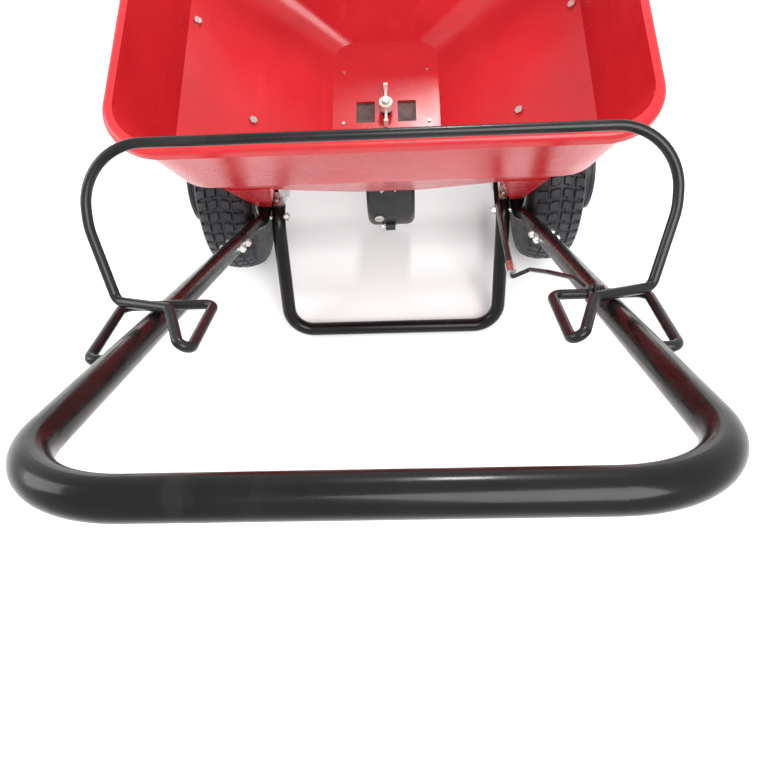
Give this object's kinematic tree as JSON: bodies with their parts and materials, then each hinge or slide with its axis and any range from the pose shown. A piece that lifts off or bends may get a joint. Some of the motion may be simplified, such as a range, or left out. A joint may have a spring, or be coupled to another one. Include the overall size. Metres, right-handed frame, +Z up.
{
  "type": "walk-behind broadcast spreader",
  "caption": "Walk-behind garden spreader with a red moulded hopper, pneumatic wheels, tubular steel handle and a wire control bail.",
  "frame": {"origin": "on the ground, under the middle of the overall box", "axes": "+Z up, +Y forwards (the way it's pushed), +X to the operator's right"},
  "size_m": [0.736, 1.0047, 0.9047],
  "materials": {
    "black_tube": "gloss",
    "black_wire": "gloss",
    "black_plastic": "satin",
    "hopper_red": "gloss",
    "tyre_black": "matte",
    "valve_rubber": "matte",
    "rim_paint": "satin",
    "nylon": "satin",
    "impeller_plastic": "satin",
    "axle_steel": "satin",
    "zinc_steel": "satin"
  },
  "bodies": {
    "frame": {"handle": "black_tube", "lower_tube_left": "black_tube", "lower_tube_right": "black_tube", "stand_frame": "black_tube", "rail_end_caps": "black_plastic", "cross_brace": "black_tube", "handle_joint_bolts": "zinc_steel", "handle_joint_nuts": "zinc_steel", "rail_side_bolts": "zinc_steel", "rail_side_nuts": "zinc_steel", "rail_top_bolts": "zinc_steel", "rail_top_nuts": "zinc_steel", "axle_bracket_left": "zinc_steel", "axle_bracket_right": "zinc_steel", "axle_bushing_left": "nylon", "axle_bushing_right": "nylon", "hopper": "hopper_red", "hopper_upright_rear_left": "zinc_steel", "hopper_upright_rear_right": "zinc_steel", "hopper_upright_front_left": "zinc_steel", "hopper_upright_front_right": "zinc_steel", "hopper_floor_bolts": "zinc_steel", "hopper_floor_nuts": "zinc_steel", "hopper_foot_bolts": "zinc_steel", "hopper_foot_nuts": "zinc_steel", "gear_case_left": "black_plastic", "gear_case_right": "black_plastic", "gear_case_screws": "zinc_steel", "gear_case_arm": "zinc_steel", "grease_plug": "zinc_steel", "shaft_bushing": "nylon", "shutter_guides": "black_plastic", "guide_screws": "zinc_steel"},
    "drive_axle": {"axle": "axle_steel", "ring_gear": "nylon", "ring_gear_pin": "zinc_steel", "rim_left": "rim_paint", "tyre_left": "tyre_black", "hub_cap_left": "black_plastic", "valve_left": "valve_rubber", "drive_pin": "zinc_steel", "retaining_pin": "zinc_steel"},
    "right_wheel": {"rim_right": "rim_paint", "tyre_right": "tyre_black", "hub_cap_right": "black_plastic", "valve_right": "valve_rubber", "wheel_bushings": "nylon"},
    "impeller_unit": {"impeller_shaft": "axle_steel", "drive_pinion": "nylon", "impeller": "impeller_plastic", "agitator": "nylon", "shaft_pins": "zinc_steel"},
    "bail": {"bail": "black_wire", "link_clips": "black_wire"},
    "rod": {"link_wire": "black_wire", "rod_coupler": "zinc_steel", "control_rod": "black_wire", "rod_cotter": "zinc_steel"},
    "shutter": {"shutter": "zinc_steel"}
  },
  "joints": [
    {"name": "drive_axle_turn", "type": "hinge", "parent": "frame", "child": "drive_axle", "pos_m": [0, 0.206, 0.164], "axis": [1, 0, 0], "continuous": true},
    {"name": "right_wheel_turn", "type": "hinge", "parent": "frame", "child": "right_wheel", "pos_m": [0.2895, 0.206, 0.164], "axis": [1, 0, 0], "continuous": true},
    {"name": "impeller_turn", "type": "hinge", "parent": "frame", "child": "impeller_unit", "pos_m": [0, 0.206, 0.283], "axis": [0, 0, 1], "continuous": true},
    {"name": "bail_pivot", "type": "hinge", "parent": "frame", "child": "bail", "pos_m": [0, -0.35657, 0.72984], "axis": [1, 0, 0], "range_deg": [0, 45]},
    {"name": "rod_pivot", "type": "hinge", "parent": "bail", "child": "rod", "pos_m": [0.198, -0.2786, 0.6632], "axis": [1, 0, 0], "range_deg": [-56.5, 0]},
    {"name": "shutter_slide", "type": "slide", "parent": "frame", "child": "shutter", "axis": [0, 1, 0], "range_m": [-0.0463, 0]}
  ],
  "couplings": [
    {"joint": "impeller_turn", "follows": "drive_axle_turn", "ratio": -5},
    {"joint": "rod_pivot", "follows": "bail_pivot", "ratio": -1.2471},
    {"joint": "shutter_slide", "follows": "bail_pivot", "m_per_rad": -0.05882}
  ]
}
